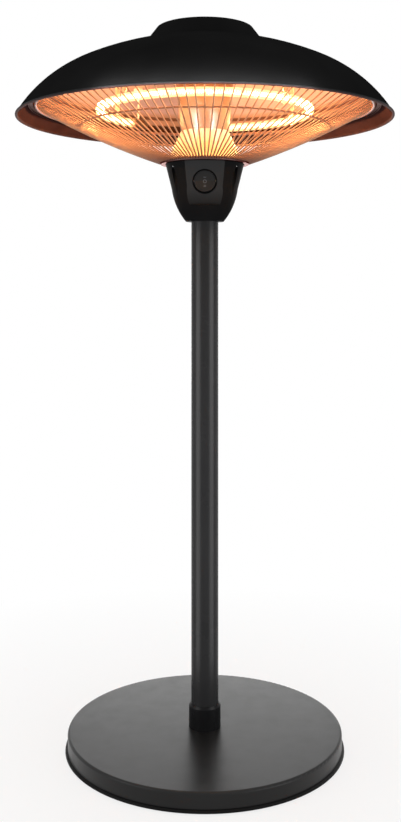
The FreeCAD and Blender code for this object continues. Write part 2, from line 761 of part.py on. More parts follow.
CUP_SCREW_ANGLES = ["-90 - cup_screw_angle", "-90 + cup_screw_angle",
                    "90 - cup_screw_angle", "90 + cup_screw_angle"]
cup_outside = cut("cup_outside", cup_blank, panel_tool("panel_face", "0"))
boss = upright("boss", "channel_dia + 2 * channel_wall", "cup_height", "cup_screw_r",
               "cup_bottom_z")
cup_inside = cut("cup_inside", cup_room, panel_tool("panel_back", "cup_wall"),
                 around("bosses", boss, CUP_SCREW_ANGLES))
screw_channel = upright("screw_channel", "channel_dia", "cup_height - cup_screw_seat",
                        "cup_screw_r", "cup_bottom_z")
cup_screw_hole = upright("cup_screw_hole", "small_screw_dia + 2 * slip_gap", "cup_height",
                         "cup_screw_r", "cup_bottom_z + cup_height / 2")
cup_screw_holes = around("cup_screw_holes", cup_screw_hole, CUP_SCREW_ANGLES)
switch_hole = cylinder("switch_hole", "2 * bezel_out_r + 2 * slip_gap", "2 * bezel_depth")
place(switch_hole, y="switch_y + bezel_depth * cos(panel_tilt)", z="switch_z + bezel_depth * sin(panel_tilt)",
      axis=(1, 0, 0), angle="switch_angle")
pole_passage = cylinder("pole_passage", "2 * pole_hole_r", "cup_top_z")
cup_shell = cut("cup_shell", cup_outside, cup_inside)
cup_open = cut("cup_open", cup_shell, around("screw_channels", screw_channel, CUP_SCREW_ANGLES))
cup_drilled = cut("cup_drilled", cup_open, cup_screw_holes)
node(cut("housing_cup", cut("cup_passed", cup_drilled, pole_passage), switch_hole))

cup_screw = screw("cup_screw", "small_screw_dia", "cup_screw_seat + hub_sheet + cone_sheet",
                  "small_screw_head_dia", "small_screw_head_height",
                  "cup_screw_r", "cup_top_z - cup_screw_seat")
node(around("cup_screws", cup_screw, CUP_SCREW_ANGLES))

# Switch, in a frame on the panel: X to the right, Y up the panel, Z out of it


def on_panel(item):
    return place(item, y="switch_y", z="switch_z", axis=(1, 0, 0), angle="switch_angle")


bezel_ring = on_panel(turned("bezel_ring", [
    ("bezel_in_r", "-bezel_depth"),
    ("bezel_out_r", "-bezel_depth"),
    ("bezel_out_r", "0"),
    ("bezel_out_r + bezel_flange", "0"),
    ("bezel_out_r + bezel_flange - bezel_flange_sheet", "bezel_flange_sheet", "bezel_flange_sheet", "left"),
    ("bezel_in_r", "bezel_flange_sheet"),
]))
pin_passage = cylinder("pin_passage", "pin_dia + 2 * running_gap", "4 * rocker_dia")
place(pin_passage, x="-2 * rocker_dia", y="pivot_y", z="pivot_z", axis=(0, 1, 0), angle="90")
node(cut("switch_bezel", bezel_ring, pin_passage))
rocker_pin = cylinder("rocker_pin", "pin_dia", "2 * bezel_out_r")
node(place(rocker_pin, x="-bezel_out_r", y="pivot_y", z="pivot_z", axis=(0, 1, 0), angle="90"))

rocker_ball = doc.addObject("Part::Sphere", "rocker_ball")
bind(rocker_ball, Radius="rocker_r")
rocker_slab = slab("rocker_slab", "YZ_Plane", [
    ("-rocker_r", "-rocker_floor"),
    ("rocker_r", "-rocker_floor"),
    ("rocker_r", "rocker_rise"),
    ("0", "rocker_dip"),
    ("-rocker_r", "rocker_rise"),
], "2 * rocker_dia")
rocker_blank = doc.addObject("Part::Common", "rocker_blank")
rocker_blank.Base = rocker_ball
rocker_blank.Tool = rocker_slab
rocker_bore = cylinder("rocker_bore", "pin_dia + 2 * running_gap", "4 * rocker_dia")
place(rocker_bore, x="-2 * rocker_dia", axis=(0, 1, 0), angle="90")
rocker = cut("switch_rocker", rocker_blank, rocker_bore)
node(place(rocker, y="pivot_y", z="pivot_z", axis=(1, 0, 0), angle="switch_angle - rocker_rest_tilt"))

node(on_panel(turned("switch_body", [
    ("0", "-switch_end_z"),
    ("switch_block_dia / 2", "-switch_end_z"),
    ("switch_block_dia / 2", "-switch_back_z"),
    ("bezel_out_r", "-switch_back_z"),
    ("bezel_out_r", "-bezel_depth"),
    ("0", "-bezel_depth"),
])))


def tab(number, shift):
    """Flat tab on the back of the switch, shifted up the panel."""
    return slab("tab_%d" % number, "YZ_Plane", [
        (shift + " - tab_sheet / 2", "-switch_end_z - tab_length"),
        (shift + " + tab_sheet / 2", "-switch_end_z - tab_length"),
        (shift + " + tab_sheet / 2", "-switch_end_z"),
        (shift + " - tab_sheet / 2", "-switch_end_z"),
    ], "tab_width")


TAB_SHIFTS = ["-tab_pitch", "0", "tab_pitch"]
tabs = [on_panel(tab(number, shift)) for number, shift in enumerate(TAB_SHIFTS)]
node(together("switch_tabs", tabs))

# Terminal block at the back and tip switch at the side, both on the flange's underside

block_blank = place(block("block_blank", "block_width", "block_depth", "block_height"),
                    x="-block_width / 2", y="block_in_r", z="pole_top_z - block_height")
node(around("terminal_block", block_blank, ["lamp_gap_start + lamp_gap_angle / 2 - 90"]))

tip_case = place(block("tip_case", "tip_depth", "tip_width", "tip_height"),
                 x="block_in_r", y="-tip_width / 2", z="pole_top_z - tip_height")
tip_slot = block("tip_slot", "pendulum_sheet + 2 * rocker_gap", "2 * tip_width",
                 "tip_slot_depth + tip_height")
place(tip_slot, x="tip_mid_r - pendulum_sheet / 2 - rocker_gap", y="-tip_width",
      z="tip_slot_z - tip_slot_depth - tip_height")
tip_bore = cylinder("tip_bore", "pin_dia + 2 * running_gap", "2 * tip_depth")
place(tip_bore, x="tip_mid_r - tip_depth", z="tip_pin_z", axis=(0, 1, 0), angle="90")
node(cut("tip_switch_body", tip_case, tip_slot, tip_bore))
tip_pin = cylinder("tip_pin", "pin_dia", "tip_depth")
node(place(tip_pin, x="block_in_r", z="tip_pin_z", axis=(0, 1, 0), angle="90"))

pendulum_eye = cylinder("pendulum_eye", "pendulum_width", "pendulum_sheet")
place(pendulum_eye, x="tip_mid_r - pendulum_sheet / 2", z="tip_pin_z", axis=(0, 1, 0), angle="90")
pendulum_arm = block("pendulum_arm", "pendulum_sheet", "pendulum_width", "pendulum_length")
place(pendulum_arm, x="tip_mid_r - pendulum_sheet / 2", y="-pendulum_width / 2",
      z="tip_pin_z - pendulum_length")
pendulum_weight = upright("pendulum_weight", "pendulum_weight_dia", "pendulum_weight_height", "tip_mid_r",
                          "tip_pin_z - pendulum_length - pendulum_weight_height")
node(cut("tip_pendulum", fused("pendulum_blank", [pendulum_eye, pendulum_arm, pendulum_weight]), tip_bore))

# Guard

hub_disc = turned("hub_disc", [
    ("flange_bore / 2", "cup_top_z"),
    ("cup_r + slip_gap", "cup_top_z"),
    ("cup_r + slip_gap", "hub_rim_z"),
    ("hub_r - hub_rim_round", "hub_rim_z"),
    ("hub_r", "hub_rim_z + hub_rim_round", "hub_rim_round", "left"),
    ("hub_r", "hub_rim_top_z - hub_rim_round"),
    ("hub_r - hub_rim_round", "hub_rim_top_z", "hub_rim_round", "left"),
    ("hub_r - hub_rim_width", "hub_rim_top_z"),
    ("hub_r - hub_rim_width", "hub_top_z"),
    ("flange_bore / 2", "hub_top_z"),
])
node(cut("guard_hub", hub_disc, flange_holes, lead_holes, cup_screw_holes))

first_turn = math.degrees(math.atan2(value("wire_in_z - wire_mid_z"), value("wire_in_r - wire_mid_r")))
guard_wire = ring("guard_wire", "2 * guard_wire_radius", "guard_wire_dia",
                  "2 * asin(wire_chord / 2 / guard_wire_radius)")
upright_turn = FreeCAD.Rotation(FreeCAD.Vector(1, 0, 0), QUARTER_TURN)
start_turn = FreeCAD.Rotation(FreeCAD.Vector(0, 0, 1), first_turn)
guard_wire.Placement = FreeCAD.Placement(
    FreeCAD.Vector(value("wire_mid_r"), 0, value("wire_mid_z")), upright_turn.multiply(start_turn))
node(around("guard_wires", guard_wire, spread(112)))

node(place(ring("guard_mid_ring", "2 * mid_ring_r", "guard_mid_wire"), z="mid_ring_z"))
node(place(ring("guard_outer_ring", "2 * outer_ring_r", "guard_outer_wire"), z="outer_ring_z"))

guard_clip = slab("guard_clip", "XZ_Plane", [
    ("rim_r - guard_clip_reach", "clip_under_z - guard_clip_sheet"),
    ("rim_r + guard_clip_sheet + weld_gap", "clip_under_z - guard_clip_sheet"),
    ("rim_r + guard_clip_sheet + weld_gap", "clip_top_z + guard_clip_sheet"),
    ("rim_r - guard_clip_hook", "clip_top_z + guard_clip_sheet"),
    ("rim_r - guard_clip_hook", "clip_top_z"),
    ("rim_r + weld_gap", "clip_top_z"),
    ("rim_r + weld_gap", "clip_under_z"),
    ("rim_r - guard_clip_reach", "clip_under_z"),
], "guard_clip_width")
node(around("guard_clips", guard_clip, spread(4, "45")))

# Column between hub and reflector

cone_slope = "(cone_foot_r - waist_r) / (waist_z - hub_top_z)"
cone_blank = turned("cone_blank", [
    ("cone_bore_r", "hub_top_z"),
    ("cone_foot_r", "hub_top_z"),
    ("waist_r", "waist_z"),
    ("neck_r", "waist_z"),
    ("neck_r", "waist_z + neck_height"),
    ("neck_r - cone_sheet", "waist_z + neck_height"),
    ("neck_r - cone_sheet", "waist_z - cone_sheet"),
    ("cone_foot_r - cone_sheet - cone_sheet * " + cone_slope, "cone_foot_z"),
    ("cone_bore_r", "cone_foot_z"),
])
node(cut("center_cone", cone_blank, cup_screw_holes))

tube_blank = turned("tube_blank", [
    ("waist_r - tube_sheet", "waist_z"),
    ("waist_r", "waist_z"),
    ("tube_top_dia / 2", "tube_top_z"),
    ("tube_flange_dia / 2", "tube_top_z"),
    ("tube_flange_dia / 2", "ceiling_z"),
    ("tube_top_dia / 2 - tube_sheet", "ceiling_z"),
])
rivet_r = "(tube_top_dia + tube_flange_dia) / 4 + tube_sheet / 2"
rivet_hole = upright("rivet_hole", "rivet_dia + 2 * slip_gap", "4 * tube_sheet", rivet_r,
                     "ceiling_z - 2 * tube_sheet")
rivet_holes = around("rivet_holes", rivet_hole, spread(4))
node(cut("center_tube", tube_blank, rivet_holes))


def rivet(label, r, under, grip):
    """Rivet with a head on either side of the grip above the height under."""
    shank = upright(label + "_shank", "rivet_dia", grip, r, under)
    low = upright(label + "_low", "rivet_head_dia", "rivet_head_height", r, under + " - rivet_head_height")
    high = upright(label + "_high", "rivet_head_dia", "rivet_head_height", r, under + " + " + grip)
    return fused(label, [shank, low, high])


node(around("column_rivets", rivet("column_rivet", rivet_r, "tube_top_z", "tube_sheet + reflector_sheet"),
            spread(4)))

# Reflector

reflector_dish = turned("reflector_dish", [
    ("reflector_bore / 2", "ceiling_z"),
    ("ceiling_r", "ceiling_z"),
    ("mouth_r", "mouth_z", "reflector_side_radius", "right"),
    ("rim_r - reflector_sheet", "mouth_z"),
    ("rim_r - reflector_sheet", "mouth_z - reflector_rim_lip"),
    ("rim_r", "mouth_z - reflector_rim_lip"),
    ("rim_r", "mouth_z + reflector_sheet"),
    ("mouth_r + reflector_sheet", "mouth_z + reflector_sheet"),
    ("ceiling_r", "ceiling_top_z", "reflector_side_radius + reflector_sheet", "left"),
    ("reflector_bore / 2", "ceiling_top_z"),
])
bush_hole = upright("bush_hole", "bush_dia + 2 * slip_gap", "4 * reflector_sheet", "lamp_r",
                    "ceiling_z - 2 * reflector_sheet")
standoff_hole = upright("standoff_hole", "small_screw_dia + 2 * slip_gap", "2 * ceiling_rise", "standoff_r",
                        "ceiling_z - 2 * reflector_sheet")
standoff_holes = around("standoff_holes", standoff_hole, spread(3, "30"))
HANGER_ANGLES = ["-90 - hanger_front_angle", "-90 + hanger_front_angle",
                 "-90 - hanger_back_angle", "-90 + hanger_back_angle"]
hanger_rivet_r = "lamp_r - hanger_foot / 2 - hanger_sheet / 4"
hanger_hole = upright("hanger_hole", "rivet_dia + 2 * slip_gap", "4 * hanger_sheet", hanger_rivet_r,
                      "ceiling_z - 2 * hanger_sheet")
hanger_holes = around("hanger_holes", hanger_hole, HANGER_ANGLES)
node(cut("reflector", reflector_dish, rivet_holes, around("bush_holes", bush_hole, LEAD_ANGLES),
         standoff_holes, hanger_holes))

# Ring lamp

tube_skin = ring("tube_skin", "2 * lamp_r", "lamp_tube_dia", "lamp_sweep")
tube_core = ring("tube_core", "2 * lamp_r", "lamp_tube_dia - 2 * lamp_tube_wall", "lamp_sweep")
lamp = cut("ring_lamp", tube_skin, tube_core)
node(place(lamp, z="lamp_z", angle="lamp_start"))
coil = ring("heating_coil", "2 * lamp_r", "coil_dia", "lamp_sweep")
node(place(coil, z="lamp_z", angle="lamp_start"))
end_cap = place(ring("end_cap", "2 * lamp_r", "end_cap_dia", "end_cap_angle"), z="lamp_z")
node(around("lamp_end_caps", end_cap, ["lamp_gap_start", "lamp_start - end_cap_angle"]))

lead = bent_rod("lamp_lead", [
    ("lamp_r", "lamp_z + end_cap_dia / 2 + weld_gap"),
    ("lamp_r", "lead_top_z - lead_bend"),
    ("lamp_r - lead_bend", "lead_top_z", "lead_bend", "left"),
    ("lead_drop_r + lead_bend", "lead_top_z"),
    ("lead_drop_r", "lead_top_z - lead_bend", "lead_bend", "left"),
    ("lead_drop_r", "pole_top_z + weld_gap"),
], "lead_dia")
node(around("lamp_leads", lead, LEAD_ANGLES))

bush = turned("lead_bush", [
    ("lead_dia / 2 + slip_gap", "ceiling_z - bush_height"),
    ("bush_flange_dia / 2", "ceiling_z - bush_height"),
    ("bush_flange_dia / 2", "ceiling_z"),
    ("bush_dia / 2", "ceiling_z"),
    ("bush_dia / 2", "ceiling_top_z + bush_flange_sheet"),
    ("lead_dia / 2 + slip_gap", "ceiling_top_z + bush_flange_sheet"),
])
place(bush, x="lamp_r")
node(around("lead_bushes", bush, LEAD_ANGLES))

hanger = slab("lamp_hanger", "XZ_Plane", [
    ("lamp_r - hanger_sheet / 2", "hanger_under_z"),
    ("lamp_r + hanger_sheet / 2", "hanger_under_z"),
    ("lamp_r + hanger_sheet / 2", "ceiling_z"),
    ("lamp_r - hanger_foot", "ceiling_z"),
    ("lamp_r - hanger_foot", "ceiling_z - hanger_sheet"),
    ("lamp_r - hanger_sheet / 2", "ceiling_z - hanger_sheet"),
], "hanger_width")
hanger_drilled = cut("hanger_drilled", hanger, hanger_hole)
node(around("lamp_hangers", hanger_drilled, HANGER_ANGLES))
hanger_rivet = rivet("hanger_rivet", hanger_rivet_r, "ceiling_z - hanger_sheet",
                     "hanger_sheet + reflector_sheet")
node(around("hanger_rivets", hanger_rivet, HANGER_ANGLES))
clip = ring("lamp_clip", "2 * clip_ring_r", "clip_wire")
place(clip, x="lamp_r", z="lamp_z", axis=(1, 0, 0), angle="90")
node(around("lamp_clips", clip, HANGER_ANGLES))

# Dome and cap

dome_blank = turned("dome_blank", [
    ("stud_dia / 2 + slip_gap", "flat_under_z"),
    ("flat_under_r", "flat_under_z"),
    ("joint_r - dome_sheet * joint_sin", "joint_z - dome_sheet * joint_cos", "inner_crown_radius", "right"),
    ("edge_r - dome_sheet * edge_sin", "edge_z - dome_sheet * edge_cos",
     "shoulder_radius - dome_sheet", "right"),
    ("lip_r - dome_lip_width", "dome_rim_z"),
    ("lip_r - dome_lip_round", "dome_rim_z"),
    ("lip_r", "dome_rim_z + dome_lip_round", "dome_lip_round", "left"),
    ("lip_r", "dome_rim_z + dome_lip_height - dome_lip_round"),
    ("lip_r - dome_lip_round", "dome_rim_z + dome_lip_height", "dome_lip_round", "left"),
    ("edge_r", "edge_z"),
    ("joint_r", "joint_z", "shoulder_radius", "left"),
    ("flat_r", "flat_z", "crown_radius", "left"),
    ("stud_dia / 2 + slip_gap", "flat_z"),
])
node(cut("dome", dome_blank, standoff_holes))

standoff_post = upright("standoff_post", "standoff_dia", "standoff_height", "standoff_r", "ceiling_top_z")
standoff = cut("standoff", standoff_post, standoff_hole)
node(around("dome_standoffs", standoff, spread(3, "30")))
low_screw = screw("low_screw", "small_screw_dia", "reflector_sheet + standoff_screw_depth",
                  "small_screw_head_dia", "small_screw_head_height", "standoff_r", "ceiling_z")
high_screw = screw("high_screw", "small_screw_dia", "dome_sheet + standoff_screw_depth",
                   "small_screw_head_dia", "small_screw_head_height", "standoff_r", "flat_z", up=False)
node(together("standoff_screws", [around("low_screws", low_screw, spread(3, "30")),
                                  around("high_screws", high_screw, spread(3, "30"))]))

node(turned("top_cap", [
    ("cap_foot_r - cap_wall", "cap_foot_z"),
    ("cap_foot_r", "cap_foot_z"),
    ("cap_top_r + cap_round * cap_run / cap_side", "cap_top_z - cap_round * cap_climb / cap_side"),
    ("cap_top_r - cap_round", "cap_top_z", "cap_edge_radius", "left"),
    ("0", "cap_top_z"),
    ("0", "cap_under_z"),
    ("cap_foot_r - cap_wall - cap_run * (cap_under_z - cap_foot_z) / cap_climb", "cap_under_z"),
]))
stud = cylinder("cap_stud", "stud_dia", "cap_under_z - flat_under_z + stud_end")
node(place(stud, z="flat_under_z - stud_end"))
cap_nut_blank = hexagon("cap_nut_blank", "cap_nut_dia", "cap_nut_height")
place(cap_nut_blank, z="flat_under_z - cap_nut_height")
stud_hole = place(cylinder("stud_hole", "stud_dia + 2 * slip_gap", "2 * cap_nut_height"),
                  z="flat_under_z - 2 * cap_nut_height")
node(cut("cap_nut", cap_nut_blank, stud_hole))

doc.recompute()

for item in doc.Objects:
    if "Invalid" in item.State or "Error" in item.State:
        raise RuntimeError("%s is %s" % (item.Name, item.State))

os.makedirs("parts", exist_ok=True)
for item in nodes:
    shape = item.Shape
    if shape.isNull() or not shape.isValid() or not shape.Solids:
        raise RuntimeError("%s has no valid solid" % item.Label)
    shape.exportStep("parts/" + item.Label + ".step")
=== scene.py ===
import json
import math

import bmesh
import bpy
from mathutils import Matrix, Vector
from mathutils.bvhtree import BVHTree


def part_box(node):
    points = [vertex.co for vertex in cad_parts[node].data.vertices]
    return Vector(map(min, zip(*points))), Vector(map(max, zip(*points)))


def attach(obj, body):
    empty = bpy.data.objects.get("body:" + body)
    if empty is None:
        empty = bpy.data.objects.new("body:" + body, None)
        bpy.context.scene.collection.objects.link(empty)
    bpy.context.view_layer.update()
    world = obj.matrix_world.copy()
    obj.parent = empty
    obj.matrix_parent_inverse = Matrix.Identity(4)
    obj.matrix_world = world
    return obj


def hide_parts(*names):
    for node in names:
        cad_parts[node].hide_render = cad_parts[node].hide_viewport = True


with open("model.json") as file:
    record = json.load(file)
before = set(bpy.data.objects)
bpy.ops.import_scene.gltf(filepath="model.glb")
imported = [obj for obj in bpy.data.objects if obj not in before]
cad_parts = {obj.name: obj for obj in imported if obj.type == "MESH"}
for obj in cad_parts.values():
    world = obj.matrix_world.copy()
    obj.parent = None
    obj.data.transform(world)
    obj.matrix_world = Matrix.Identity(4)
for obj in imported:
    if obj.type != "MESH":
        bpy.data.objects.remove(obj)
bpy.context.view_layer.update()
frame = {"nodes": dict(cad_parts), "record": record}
nodes = frame["nodes"]
scene = bpy.context.scene

# Photograph's frame and camera: a level camera whose horizon lies above the middle of the picture.
PHOTO_HEIGHT_PX = 822
FOCAL_PX = 1015.4
HORIZON_ABOVE_MIDDLE_PX = 121.8
AXIS_RIGHT_OF_MIDDLE_PX = 4.3
CAMERA_PLACE = (0.0, -1.3152, 0.5895)
SENSOR_MM = 36.0

# Lamp ring of the solids and the wire wound in it, in metres and degrees.
LAMP_RADIUS = 0.1355
LAMP_HEIGHT = 0.8194
LAMP_START = 138.0
LAMP_SWEEP = 307.0
COIL_TURNS = 230
COIL_RADIUS = 0.0021
COIL_STEPS_PER_TURN = 14
WIRE_RADIUS = 0.00055
WIRE_SIDES = 6

# Switch of the solids and the marks printed on its rocker, in metres.
SWITCH_PLACE = Vector((0.0, -0.03787, 0.7251))
PANEL_TILT = math.radians(13.2)
PANEL_OUT = Vector((0, -math.cos(PANEL_TILT), -math.sin(PANEL_TILT)))
PANEL_UP = Vector((0, -math.sin(PANEL_TILT), math.cos(PANEL_TILT)))
PRINT_SUNK = 0.00004
PRINT_LIFT = 0.00006
PRINT_VERTS = 4
AIM_FROM = 0.03
STROKE = 0.0006
STROKE_STEPS = 9
STROKE_END_SHARE = 0.15
MARK_ONE_WIDTH = 0.0038
MARK_ONE_UP = 0.0052
MARK_OFF_OUTER = 0.0022
MARK_OFF_INNER = 0.0016
MARK_OFF_STEPS = 32
MARK_TWO_WIDTH = 0.0036
MARK_TWO_UPPER = -0.0047
MARK_TWO_LOWER = -0.0062

# Heights between which a finish changes, in metres.
LIP_RISE = 0.0032
LIP_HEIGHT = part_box("base_cover")[0][2] + LIP_RISE
LIP_SPAN = (LIP_HEIGHT - 0.0002, LIP_HEIGHT + 0.0006)
RIM_HEIGHT = 0.8072
RIM_SPAN = (RIM_HEIGHT + 0.0012, RIM_HEIGHT + 0.0030)
CUP_FOOT_SPAN = (0.690, 0.715)
# Painted shade on the guard wires near the hub fades out over this span.
HUB_SHADE_SPAN = (0.752, 0.770)
# Spans of the reflector's painted shade on its lower wall, its painted shadow ring and the lighter painted
# glow on its ceiling.
WALL_SHADE_SPAN = (0.8325, 0.8345)
SHADOW_RING_START_SPAN = (0.8395, 0.8405)
SHADOW_RING_END_SPAN = (0.8432, 0.8445)
CEILING_SPAN = (0.845, 0.850)

# Cosines of the angle between a surface and a direction, between which a finish changes.
# The first span sets where the painted lamp glow on the dome's inner side comes in.
PAINTED_GLOW_SPAN = (0.25, 0.45)
PANEL_SPAN = (0.975, 0.995)

# Shares of a noise between which a tone goes from dark to light.
CLOUD_SPAN = (0.3, 0.7)
TONE_SPAN = (0.25, 0.75)

# Scales and details of the noises, per metre, and how deep a bump goes, in metres.
NOISE_ROUGHNESS = 0.55
CLOUD_SCALE = 9.0
INSIDE_CLOUD_SCALE = 18.0
TONE_SCALE = 24.0
TONE_DETAIL = 4.0
GLOSS_SCALE = 38.0
GLOSS_DETAIL = 5.0
METAL_GLOSS_SCALE = 240.0
METAL_GLOSS_DETAIL = 4.0
GUARD_GLOSS_SCALE = 60.0
GLOW_GLOSS_SCALE = 50.0
GUARD_GRAIN_SCALE = 300.0
DOME_GRAIN_SCALE = 1700.0
CUP_GRAIN_SCALE = 520.0
GLASS_RIPPLE_SCALE = 260.0
LATHE_SCALE = 900.0
LATHE_DETAIL = 4.0
GRAIN_DETAIL = 2.0
PAINT_BUMP = 0.0004
METAL_BUMP = 0.0003

# Background and floor.
WORLD_FILL = 0.45
WORLD_SEEN = 1.0
FLOOR_SIZE = 60.0
FLOOR_COLOUR = (0.9, 0.9, 0.9, 1.0)
FLOOR_GLOW_NEAR = 0.80
FLOOR_GLOW_FAR = 1.0
FLOOR_GLOW_SPAN = (0.22, 0.7)

# Lights: places and sizes in metres, powers in watts, spreads and angles in degrees.
FULL_SPREAD = 180.0
STRIP_PLACE = (0.187, -0.117, 0.352)
STRIP_SIZE = (0.15, 0.644)
STRIP_POWER = 1.2
STRIP_SPREAD = 100.0
GLINT_PLACE = (0.053, -0.086, 0.801)
GLINT_SIZE = (0.006, 0.016)
GLINT_POWER = 0.017
GLINT_SPREAD = 60.0
GLINT_COLOUR = (0.34, 0.68, 1.0)
SIDE_PLACE = (1.70, -1.06, 0.60)
SIDE_SIZE = (1.40, 0.66)
SIDE_POWER = 7.0
BROW_LIGHTS = 5
BROW_STEP = 12.0
BROW_RADIUS = 0.257
BROW_HEIGHT = 0.810
BROW_SIZE = (0.05, 0.006)
BROW_POWER = 0.026
TOP_PLACE = (0, 0.4, 3.0)
TOP_AIM = (0, 0, 0.3)
TOP_SIZE = (2.6, 2.6)
TOP_POWER = 16.0
BACK_PLACE = (0, 2.8, 0.52)
BACK_AIM = (0, 0, 0.1)
BACK_SIZE = (1.3, 0.7)
BACK_POWER = 9.4
LAMP_LIGHTS = 24
LAMP_LIGHT_POWER = 0.265
LAMP_LIGHT_RADIUS = 0.005
LAMP_LIGHT_COLOUR = (1.0, 0.57, 0.24)


# Camera

camera = bpy.data.objects.new("camera", bpy.data.cameras.new("camera"))
scene.collection.objects.link(camera)
camera.location = CAMERA_PLACE
camera.rotation_euler = (math.radians(90), 0, 0)
camera.data.sensor_width = SENSOR_MM
camera.data.lens = FOCAL_PX / PHOTO_HEIGHT_PX * SENSOR_MM
camera.data.shift_x = -AXIS_RIGHT_OF_MIDDLE_PX / PHOTO_HEIGHT_PX
camera.data.shift_y = -HORIZON_ABOVE_MIDDLE_PX / PHOTO_HEIGHT_PX
scene.camera = camera
scene.view_settings.view_transform = "Standard"


# Materials


class Shader:
    """Node tree of one material, with its Principled shader at hand."""

    def __init__(self, name):
        self.material = bpy.data.materials.new(name)
        self.material.use_nodes = True
        self.tree = self.material.node_tree
        self.surface = self.tree.nodes["Principled BSDF"]
        self.place = self.add("ShaderNodeTexCoord").outputs["Object"]

    def add(self, kind, **settings):
        """New node; each setting is an input of that name, or else a property."""
        node = self.tree.nodes.new(kind)
        for key, value in settings.items():
            if key in node.inputs:
                self.feed(node.inputs[key], value)
            else:
                setattr(node, key, value)
        return node

    def feed(self, socket, value):
        """Links a socket to an input, or sets the input to a plain value."""
        if isinstance(value, bpy.types.NodeSocket):
            self.tree.links.new(value, socket)
        else:
            socket.default_value = value

    def set(self, **values):
        """Feeds inputs of the Principled shader."""
        for key, value in values.items():
            self.feed(self.surface.inputs[key.replace("_", " ")], value)

    def noise(self, scale, detail=3.0):
        node = self.add("ShaderNodeTexNoise", Scale=scale, Detail=detail, Roughness=NOISE_ROUGHNESS)
        self.feed(node.inputs["Vector"], self.place)
        return node.outputs["Fac"]

    def ramp(self, value, low, high, span=CLOUD_SPAN):
        """Colour or number from low to high as value goes from one end of the span to the other."""
        if isinstance(low, tuple):
            node = self.add("ShaderNodeValToRGB")
            self.feed(node.inputs["Fac"], value)
            for stop, place, colour in zip(node.color_ramp.elements, span, (low, high)):
                stop.position = place
                stop.color = (*colour, 1.0)
            return node.outputs["Color"]
        node = self.add("ShaderNodeMapRange")
        for key, number in (("Value", value), ("From Min", span[0]), ("From Max", span[1]),
                            ("To Min", low), ("To Max", high)):
            self.feed(node.inputs[key], number)
        return node.outputs["Result"]

    def math(self, operation, first, second):
        node = self.add("ShaderNodeMath", operation=operation)
        self.feed(node.inputs[0], first)
        self.feed(node.inputs[1], second)
        return node.outputs[0]

    def mixed(self, share, first, second):
        """Colour from first to second as share goes from 0 to 1."""
        node = self.add("ShaderNodeMix", data_type="RGBA")
        self.feed(node.inputs["Factor"], share)
        self.feed(node.inputs["A"], first)
        self.feed(node.inputs["B"], second)
        return node.outputs["Result"]

    def bump(self, height, strength, distance):
        node = self.add("ShaderNodeBump", Strength=strength, Distance=distance)
        self.feed(node.inputs["Height"], height)
        self.set(Normal=node.outputs["Normal"])

    def normal(self):
        return self.add("ShaderNodeTexCoord").outputs["Normal"]

    def facing(self, direction):
        """Cosine of the angle between the surface and a direction."""
        node = self.add("ShaderNodeVectorMath", operation="DOT_PRODUCT")
        self.feed(node.inputs[0], self.normal())
        self.feed(node.inputs[1], direction)
        return node.outputs["Value"]

    def flat_place(self):
        """Place with its height left out."""
        node = self.add("ShaderNodeVectorMath", operation="MULTIPLY")
        self.feed(node.inputs[0], self.place)
        node.inputs[1].default_value = (1, 1, 0)
        return node.outputs[0]

    def radius(self):
        """Distance from the pole's axis, in metres."""
        node = self.add("ShaderNodeVectorMath", operation="LENGTH")
        self.feed(node.inputs[0], self.flat_place())
        return node.outputs["Value"]

    def outward(self):
        """Level direction away from the pole's axis."""
        node = self.add("ShaderNodeVectorMath", operation="NORMALIZE")
        self.feed(node.inputs[0], self.flat_place())
        return node.outputs[0]

    def upright(self, vector):
        """Height part of a vector."""
        node = self.add("ShaderNodeSeparateXYZ")
        self.feed(node.inputs[0], vector)
        return node.outputs["Z"]

    def height(self):
        """Height above the floor, in metres."""
        return self.upright(self.place)

    def rings(self, scale):
        """Fine lathe lines round the axis."""
        node = self.add("ShaderNodeTexNoise", noise_dimensions="1D", Scale=scale, Detail=LATHE_DETAIL)
        self.feed(node.inputs["W"], self.radius())
        return node.outputs["Fac"]

    def tone(self):
        """Cloudy tone of bare metal."""
        return self.noise(TONE_SCALE, TONE_DETAIL)

    def lined_tone(self, lines, share):
        """Cloudy tone with a share of lathe lines in it."""
        cloud = self.math("MULTIPLY", self.tone(), 1 - share)
        return self.math("ADD", cloud, self.math("MULTIPLY", lines, share))

    def gloss(self, low, high):
        """Uneven roughness of paint and plastic."""
        self.set(Roughness=self.ramp(self.noise(GLOSS_SCALE, GLOSS_DETAIL), low, high))

    def metal_gloss(self, low, high):
        """Uneven roughness of bare metal, finer than that of paint."""
        self.set(Roughness=self.ramp(self.noise(METAL_GLOSS_SCALE, METAL_GLOSS_DETAIL), low, high))


def coated(name, dark, light, rough, grain, strength, specular, fade=None):
    """Paint or moulded plastic: cloudy colour, uneven gloss and a fine grain.

    A fade gives the dull specular level further down and the heights between which it changes.
    """
    shader = Shader(name)
    shader.set(Base_Color=shader.ramp(shader.noise(CLOUD_SCALE), dark, light))
    shader.gloss(*rough)
    if fade:
        dull, span = fade
        specular = shader.ramp(shader.height(), dull, specular, span)
    shader.set(Specular_IOR_Level=specular)
    shader.bump(shader.noise(grain, GRAIN_DETAIL), strength, PAINT_BUMP)
    return shader.material


def metal(name, dark, light, rough, lines=None, spangle=None, grain=900.0, strength=0.08, sheen=1.0,
          edge=(1.0, 1.0, 1.0)):
    """Bare metal with lathe lines, zinc spangle or plain grain; edge is its tint seen flat along it."""
    shader = Shader(name)
    if lines:
        height = shader.rings(lines)
        tone = shader.lined_tone(height, share=0.3)
    else:
        height = shader.noise(grain)
        tone = shader.tone()
    if spangle:
        cell = shader.add("ShaderNodeTexVoronoi", Scale=spangle)
        shader.feed(cell.inputs["Vector"], shader.place)
        tone = cell.outputs["Color"]
    shader.set(Base_Color=shader.ramp(tone, dark, light, TONE_SPAN))
    shader.set(Metallic=sheen, Specular_Tint=(*edge, 1.0))
    shader.metal_gloss(*rough)
    shader.bump(height, strength, METAL_BUMP)
    return shader.material


